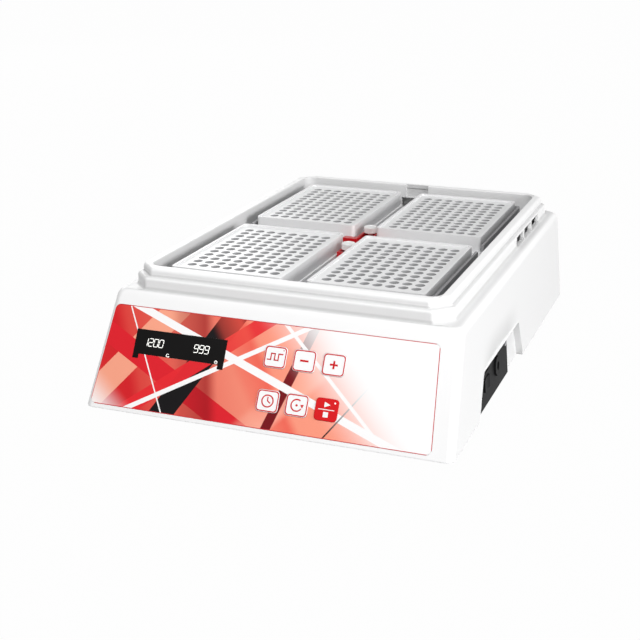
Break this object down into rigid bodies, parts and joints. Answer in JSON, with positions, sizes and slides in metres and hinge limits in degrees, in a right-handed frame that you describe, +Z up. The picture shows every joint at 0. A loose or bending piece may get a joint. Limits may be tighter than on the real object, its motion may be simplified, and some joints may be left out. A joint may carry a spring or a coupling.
{
  "type": "microplate shaker",
  "caption": "Bench orbital shaker with a drafted moulded housing, a sloping key panel and a recessed crank-driven platform that holds microplates with sliding clamps.",
  "frame": {"origin": "middle of the footprint on the bench, at the underside of the feet", "axes": "+X to the right seen from the front panel, +Y to the back, +Z up"},
  "size_m": [0.2582, 0.3692, 0.093],
  "materials": {
    "white_housing": "fine satin moulding",
    "white_plate": "smooth moulded polystyrene",
    "white_key": "satin key cap",
    "red_key": "satin key cap",
    "printed_label": "printed film, satin",
    "display_glass": "smoked window",
    "black_plastic": "fine texture",
    "rubber_foot": "moulded rubber",
    "belt_rubber": "toothed belt",
    "red_clamp": "red enamel",
    "sheet_steel": "zinc-plated sheet",
    "tray_metal": "satin anodised",
    "turned_steel": "turned",
    "cast_alloy": "machined",
    "screw_steel": "zinc-plated",
    "knob_metal": "polished",
    "weight_iron": "blackened",
    "motor_case": "enamel",
    "board_green": "solder mask"
  },
  "bodies": {
    "housing": {"shell": "white_housing", "base_pan": "sheet_steel", "feet": "rubber_foot", "shell_screws": "screw_steel", "label": "printed_label", "display_window": "display_glass", "display_module": "black_plastic", "control_board": "board_green", "key_switches": "black_plastic", "board_spacers": "turned_steel", "inlet_panel": "black_plastic", "panel_screws": "screw_steel", "power_socket": "black_plastic", "socket_nut": "turned_steel", "rocker_frame": "black_plastic", "deck": "sheet_steel", "deck_posts": "turned_steel", "deck_screws": "screw_steel", "bearing_housing": "cast_alloy", "main_bearings": "turned_steel", "idler_hubs": "cast_alloy", "motor": "motor_case", "motor_screws": "screw_steel", "belt": "belt_rubber", "driver_board": "board_green", "driver_spacers": "turned_steel"},
    "crank": {"crank_shaft": "turned_steel", "crank_pulley": "cast_alloy", "counterweight": "weight_iron"},
    "motor_rotor": {"motor_pulley": "turned_steel"},
    "table": {"platform": "tray_metal", "table_bearing": "turned_steel"},
    "rocker": {"rocker": "black_plastic"},
    "idler_front_left": {"idler_front_left": "turned_steel"},
    "idler_front_right": {"idler_front_right": "turned_steel"},
    "idler_back_left": {"idler_back_left": "turned_steel"},
    "idler_back_right": {"idler_back_right": "turned_steel"},
    "plate_front_left": {"plate_front_left": "white_plate"},
    "plate_front_right": {"plate_front_right": "white_plate"},
    "plate_back_left": {"plate_back_left": "white_plate"},
    "plate_back_right": {"plate_back_right": "white_plate"},
    "clamp_front": {"clamp_front": "red_clamp"},
    "knob_front": {"knob_front": "knob_metal"},
    "clamp_back": {"clamp_back": "red_clamp"},
    "knob_back": {"knob_back": "knob_metal"},
    "key_1": {"key_1": "white_key"},
    "key_2": {"key_2": "white_key"},
    "key_3": {"key_3": "white_key"},
    "key_4": {"key_4": "white_key"},
    "key_5": {"key_5": "white_key"},
    "key_6": {"key_6": "red_key"}
  },
  "joints": [
    {"name": "crank_spin", "type": "hinge", "parent": "housing", "child": "crank", "pos_m": [0, 0.017, 0.05], "axis": [0, 0, 1], "continuous": true},
    {"name": "motor_spin", "type": "hinge", "parent": "housing", "child": "motor_rotor", "pos_m": [0, -0.068, 0.03], "axis": [0, 0, 1], "continuous": true},
    {"name": "table_orbit", "type": "hinge", "parent": "crank", "child": "table", "pos_m": [-0.0015, 0.017, 0.066], "axis": [0, 0, 1], "continuous": true},
    {"name": "idler_spin_front_left", "type": "hinge", "parent": "housing", "child": "idler_front_left", "pos_m": [-0.072, -0.091, 0.05], "axis": [0, 0, 1], "continuous": true},
    {"name": "idler_spin_front_right", "type": "hinge", "parent": "housing", "child": "idler_front_right", "pos_m": [0.072, -0.091, 0.05], "axis": [0, 0, 1], "continuous": true},
    {"name": "idler_spin_back_left", "type": "hinge", "parent": "housing", "child": "idler_back_left", "pos_m": [-0.072, 0.125, 0.05], "axis": [0, 0, 1], "continuous": true},
    {"name": "idler_spin_back_right", "type": "hinge", "parent": "housing", "child": "idler_back_right", "pos_m": [0.072, 0.125, 0.05], "axis": [0, 0, 1], "continuous": true},
    {"name": "lift_front_left", "type": "slide", "parent": "table", "child": "plate_front_left", "axis": [0, 0, 1], "range_m": [0, 0.04]},
    {"name": "lift_front_right", "type": "slide", "parent": "table", "child": "plate_front_right", "axis": [0, 0, 1], "range_m": [0, 0.04]},
    {"name": "lift_back_left", "type": "slide", "parent": "table", "child": "plate_back_left", "axis": [0, 0, 1], "range_m": [0, 0.04]},
    {"name": "lift_back_right", "type": "slide", "parent": "table", "child": "plate_back_right", "axis": [0, 0, 1], "range_m": [0, 0.04]},
    {"name": "clamp_slide_front", "type": "slide", "parent": "table", "child": "clamp_front", "axis": [0, 1, 0], "range_m": [0, 0.003]},
    {"name": "knob_turn_front", "type": "hinge", "parent": "table", "child": "knob_front", "pos_m": [-0.0015, -0.009, 0.08], "axis": [0, 0, 1], "continuous": true},
    {"name": "clamp_slide_back", "type": "slide", "parent": "table", "child": "clamp_back", "axis": [0, -1, 0], "range_m": [0, 0.003]},
    {"name": "knob_turn_back", "type": "hinge", "parent": "table", "child": "knob_back", "pos_m": [-0.0015, 0.043, 0.08], "axis": [0, 0, 1], "continuous": true},
    {"name": "key_press_1", "type": "slide", "parent": "housing", "child": "key_1", "axis": [0, 0.8767, -0.481], "range_m": [0, 0.0005], "stiffness_N_per_m": 400},
    {"name": "key_press_2", "type": "slide", "parent": "housing", "child": "key_2", "axis": [0, 0.8767, -0.481], "range_m": [0, 0.0005], "stiffness_N_per_m": 400},
    {"name": "key_press_3", "type": "slide", "parent": "housing", "child": "key_3", "axis": [0, 0.8767, -0.481], "range_m": [0, 0.0005], "stiffness_N_per_m": 400},
    {"name": "key_press_4", "type": "slide", "parent": "housing", "child": "key_4", "axis": [0, 0.8767, -0.481], "range_m": [0, 0.0005], "stiffness_N_per_m": 400},
    {"name": "key_press_5", "type": "slide", "parent": "housing", "child": "key_5", "axis": [0, 0.8767, -0.481], "range_m": [0, 0.0005], "stiffness_N_per_m": 400},
    {"name": "key_press_6", "type": "slide", "parent": "housing", "child": "key_6", "axis": [0, 0.8767, -0.481], "range_m": [0, 0.0005], "stiffness_N_per_m": 400},
    {"name": "rocker_tip", "type": "hinge", "parent": "housing", "child": "rocker", "pos_m": [0.12052, -0.088, 0.0203], "axis": [-0.0885, 0, 0.9961], "range_deg": [-8, 8]}
  ],
  "couplings": [
    {"joint": "motor_spin", "follows": "crank_spin", "ratio": 3},
    {"joint": "table_orbit", "follows": "crank_spin", "ratio": -1},
    {"joint": "idler_spin_front_left", "follows": "crank_spin", "ratio": 1},
    {"joint": "idler_spin_front_right", "follows": "crank_spin", "ratio": 1},
    {"joint": "idler_spin_back_left", "follows": "crank_spin", "ratio": 1},
    {"joint": "idler_spin_back_right", "follows": "crank_spin", "ratio": 1}
  ]
}
